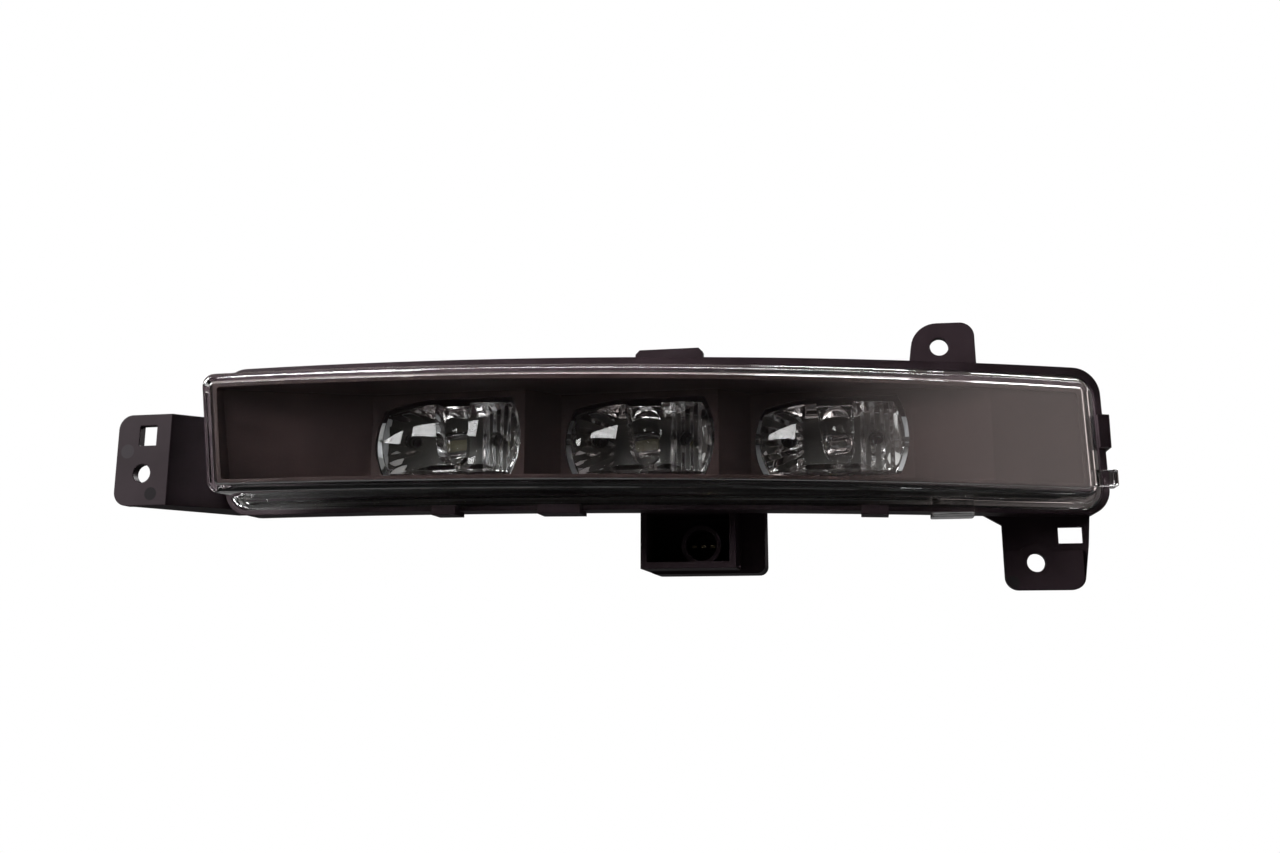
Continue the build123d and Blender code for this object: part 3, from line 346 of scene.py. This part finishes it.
def opticGrids(size):
    # front sheet: two crowned lobes with a U-shaped pocket; back sheet: a flat seat with fluted flanks
    u, v = np.meshgrid(np.linspace(-1, 1, size["grid"][0]), np.linspace(-1, 1, size["grid"][1]))
    fall = np.clip((size["crest"] - u) / (1 + size["crest"]), 0, 1) ** 2 * size["fall"]
    z = -size["half"] + (v + 1) / 2 * (2 * size["half"] - fall)
    x = u * (size["reach"] - size["bulge"] * (z / size["half"]) ** 2)
    (leftX, leftR), (rightX, rightR), (upZ, upR) = size["lobeLeft"], size["lobeRight"], size["lobeUp"]
    crown = np.clip(leftX - x, 0, None) ** 2 / (2 * leftR) + np.clip(x - rightX, 0, None) ** 2 / (2 * rightR)
    crown += (z - upZ) ** 2 / (2 * upR)
    left, right, low, deep = size["pocket"]
    lean = left + size["pocketLean"] * (size["half"] - z)
    mid, bend = (lean + right) / 2, (right - lean) / 2
    straight = np.abs(x - mid) - bend
    bowl = np.hypot(x - mid, np.minimum(z - (low + bend), 0)) - bend
    out = np.where(z < low + bend, bowl, straight)
    swellZ, swellR = size["swellUp"]
    floor = deep - size["swell"] * np.clip(1 - ((x - mid) / bend) ** 2 - ((z - swellZ) / swellR) ** 2, 0, 1)
    crown = crown + (floor - crown) * (1 - ramp(out, -size["pocketEdge"], size["pocketEdge"]))
    near = np.minimum((1 - np.abs(u)) * size["reach"], np.minimum(1 - v, 1 + v) * size["half"])
    over = np.clip(size["round"] - near, 0, size["round"])
    crown = crown + size["round"] - np.sqrt(size["round"] ** 2 - over ** 2)  # quarter round along the rim
    seatX, seatZ = size["plateau"]
    across = np.clip((np.abs(x) - seatX) / (size["reach"] - seatX), 0, 1)
    up = np.clip((np.abs(z) - seatZ) / (size["half"] - seatZ), 0, 1)
    slope = np.clip(np.maximum(across, up * size["flankUp"]), 0, 1)
    rim = np.minimum(crown + size["rimThick"], size["rimMost"])
    back = size["depth"] - (size["depth"] - rim) * slope ** size["flankPower"]
    fan = np.degrees(np.arctan2(z, np.abs(x) + size["offAxis"]))
    flute = np.where(x < 0, wave(fan / size["fluteTurn"]), wave(x / size["flutePitch"]))
    begun, ended = ramp(across, *size["fluteStart"]), ramp(across, *size["fluteEnd"])
    back -= size["fluteDepth"] * flute * begun * (1 - ended)
    ring = np.hypot(x, z)
    hollow = size["depth"] - np.sqrt(np.clip(size["dome"] ** 2 - ring ** 2, 0, None))  # over the LED
    back = np.where(ring < size["dome"], hollow, back)
    leg = np.hypot(np.abs(x) - size["legs"], z)
    back = back + (size["board"] - back) * (1 - ramp(leg, *size["legEdge"]))
    front = np.stack([x, crown, z], -1)
    rear = np.stack([x, np.maximum(back, crown + size["least"]), z], -1)
    sides = [np.stack([front[0], rear[0]]), np.stack([front[-1], rear[-1]]),
             np.stack([front[:, 0], rear[:, 0]]), np.stack([front[:, -1], rear[:, -1]])]
    return [(front, False), (rear, False)] + [(s, False) for s in sides]


for side, (sx, sy) in zip(opticSize["sides"], opticSize["stations"]):
    grids = [(g + (sx, sy, 0.0), wrap) for g, wrap in opticGrids(opticSize)]
    optic = surfaceObject("clear_optic_" + side, grids, "optic", opticSize["crease"])
    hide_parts("optic_" + side)
print("optics:", len(opticSize["sides"]), "pieces of", len(optic.data.polygons), "faces")

# studio: a soft box at the left, a small one behind, and cards for the glints; degrees, metres and watts
lightSet = {
    "softBox": {"turn": -60, "lift": 24, "far": 4.0, "size": (1.5, 1.3), "power": 275},
    "rearBox": {"turn": 168, "lift": 32, "far": 2.4, "size": (0.9, 0.9), "power": 60},
    "rightCard": {"turn": 78, "lift": 40, "far": 1.3, "size": (0.3, 0.5), "power": 3, "gloss": True},
    "lobeCard": {"turn": -28, "lift": 26, "far": 1.4, "size": (0.57, 0.35), "power": 16, "gloss": True},
    "glintCard": {"turn": 12, "lift": 47, "far": 1.4, "size": (1.9, 0.22), "power": 28, "gloss": True},
    "backCard": {"turn": 188, "lift": -12, "far": 1.2, "size": (1.8, 0.34), "power": 0.35, "gloss": True},
    "lowCard": {"turn": 5, "lift": -38, "far": 1.0, "size": (1.3, 0.16), "power": 7, "gloss": True},
}
aimDepth = 0.02  # the lights point this far behind the lens front, metres
middle = Vector((lampX * mm, aimDepth, lampZ * mm))


def heading(turn, lift):
    # unit vector from the lamp, turned to the right from straight ahead and then lifted
    a, e = math.radians(turn), math.radians(lift)
    return Vector((math.sin(a) * math.cos(e), -math.cos(a) * math.cos(e), math.sin(e)))


blackPlastics = [nodes[name] for name in ("rear_housing", "bezel", "vent_cap", "lens_seal")]
glinting = bpy.data.collections.new("glinting_pieces")
for obj in [o for o in bpy.context.scene.objects if o.type == "MESH"]:
    if obj not in blackPlastics:
        glinting.objects.link(obj)
for name, lamp in lightSet.items():
    data = bpy.data.lights.new(name, "AREA")
    data.shape = "RECTANGLE"
    data.size, data.size_y = lamp["size"]
    data.energy = lamp["power"]
    obj = bpy.data.objects.new(name, data)
    obj.location = middle + lamp["far"] * heading(lamp["turn"], lamp["lift"])
    obj.rotation_euler = (middle - obj.location).to_track_quat("-Z", "Y").to_euler()
    obj.visible_camera = False
    obj.visible_diffuse = not lamp.get("gloss", False)  # cards only show as reflections
    if lamp.get("gloss", False):
        obj.light_linking.receiver_collection = glinting  # and not on the black plastics
    bpy.context.scene.collection.objects.link(obj)

# pale floor: the camera sees it white, and it throws only a little light up at the part
floorSize = {"half": 3.0, "level": -0.42, "shade": 0.06, "rough": 0.9}
half = floorSize["half"]
corner = np.array([(-half, -half, 0), (half, -half, 0), (half, half, 0), (-half, half, 0)])
floorMesh = bpy.data.meshes.new("pale_floor")
floorMesh.from_pydata((corner + (0, 0, floorSize["level"])).tolist(), [], [(0, 1, 2, 3)])
floor = bpy.data.objects.new("pale_floor", floorMesh)
bpy.context.scene.collection.objects.link(floor)
floorMat, tree, bsdf = newMaterial("floorLook")
bsdf.inputs["Base Color"].default_value = (floorSize["shade"],) * 3 + (1,)
bsdf.inputs["Roughness"].default_value = floorSize["rough"]
white = addNode(tree, "ShaderNodeEmission", Color=(1, 1, 1, 1), Strength=1.0)
ray = tree.nodes.new("ShaderNodeLightPath")
mix = tree.nodes.new("ShaderNodeMixShader")
out = next(n for n in tree.nodes if n.type == "OUTPUT_MATERIAL")
tree.links.new(ray.outputs["Is Camera Ray"], mix.inputs["Fac"])
tree.links.new(bsdf.outputs["BSDF"], mix.inputs[1])
tree.links.new(white.outputs["Emission"], mix.inputs[2])
tree.links.new(mix.outputs["Shader"], out.inputs["Surface"])
floorMesh.materials.append(floorMat)

# white to the camera and dim to the part; mirror-like reflections see it brighten to the right and overhead
surround = {"fill": 0.015, "veil": 0.82, "turn": 84, "lift": 10, "edge": (0.58, 0.93), "dome": 0.45,
            "domeEdge": (0.3, 0.75), "tint": (1.0, 0.86, 0.83)}
world = bpy.data.worlds.new("surround")
bpy.context.scene.world = world
world.use_nodes = True
wt = world.node_tree
wt.nodes.clear()
ray = wt.nodes.new("ShaderNodeLightPath")
sky = wt.nodes.new("ShaderNodeTexCoord")
facing = wt.nodes.new("ShaderNodeVectorMath")
facing.operation = "DOT_PRODUCT"
facing.inputs[1].default_value = heading(surround["turn"], surround["lift"])
rise = addNode(wt, "ShaderNodeMapRange", From_Min=surround["edge"][0], From_Max=surround["edge"][1],
               To_Min=surround["fill"], To_Max=surround["veil"])
rise.interpolation_type = "SMOOTHSTEP"
height = wt.nodes.new("ShaderNodeSeparateXYZ")
dome = addNode(wt, "ShaderNodeMapRange", From_Min=surround["domeEdge"][0], From_Max=surround["domeEdge"][1],
               To_Max=surround["dome"])
dome.interpolation_type = "SMOOTHSTEP"
both = wt.nodes.new("ShaderNodeMath")
pick = addNode(wt, "ShaderNodeMapRange", To_Min=surround["fill"])
seen = addNode(wt, "ShaderNodeBackground", Color=(1, 1, 1, 1), Strength=1.0)
ambient = addNode(wt, "ShaderNodeBackground", Color=(*surround["tint"], 1))
choose = wt.nodes.new("ShaderNodeMixShader")
out = wt.nodes.new("ShaderNodeOutputWorld")
wt.links.new(sky.outputs["Generated"], facing.inputs[0])
wt.links.new(facing.outputs["Value"], rise.inputs["Value"])
wt.links.new(ray.outputs["Is Singular Ray"], pick.inputs["Value"])
wt.links.new(sky.outputs["Generated"], height.inputs["Vector"])
wt.links.new(height.outputs["Z"], dome.inputs["Value"])
wt.links.new(rise.outputs["Result"], both.inputs[0])
wt.links.new(dome.outputs["Result"], both.inputs[1])
wt.links.new(both.outputs["Value"], pick.inputs["To Max"])
wt.links.new(pick.outputs["Result"], ambient.inputs["Strength"])
wt.links.new(ray.outputs["Is Camera Ray"], choose.inputs["Fac"])
wt.links.new(ambient.outputs["Background"], choose.inputs[1])
wt.links.new(seen.outputs["Background"], choose.inputs[2])
wt.links.new(choose.outputs["Shader"], out.inputs["Surface"])
bpy.context.scene.view_settings.view_transform = "Standard"
print("lights:", ", ".join(lightSet))

# a near camera a little below the lamp, as the photo was taken
shot = {"turn": 10.5, "lift": -11.0, "far": 0.370, "lens": 32.78, "sensor": 36.0, "shift": (-6.5, -2.5),
        "pixels": 1280, "near": 0.01}
aim = Vector((lampX * mm, 0.0, lampZ * mm))
camData = bpy.data.cameras.new("camera")
camData.sensor_width = shot["sensor"]
camData.lens = shot["lens"]
camData.shift_x, camData.shift_y = (s / shot["pixels"] for s in shot["shift"])
camData.clip_start = shot["near"]
cam = bpy.data.objects.new("camera", camData)
cam.location = aim + shot["far"] * heading(shot["turn"], shot["lift"])
cam.rotation_euler = (aim - cam.location).to_track_quat("-Z", "Y").to_euler()
bpy.context.scene.collection.objects.link(cam)
bpy.context.scene.camera = cam
print("camera set")
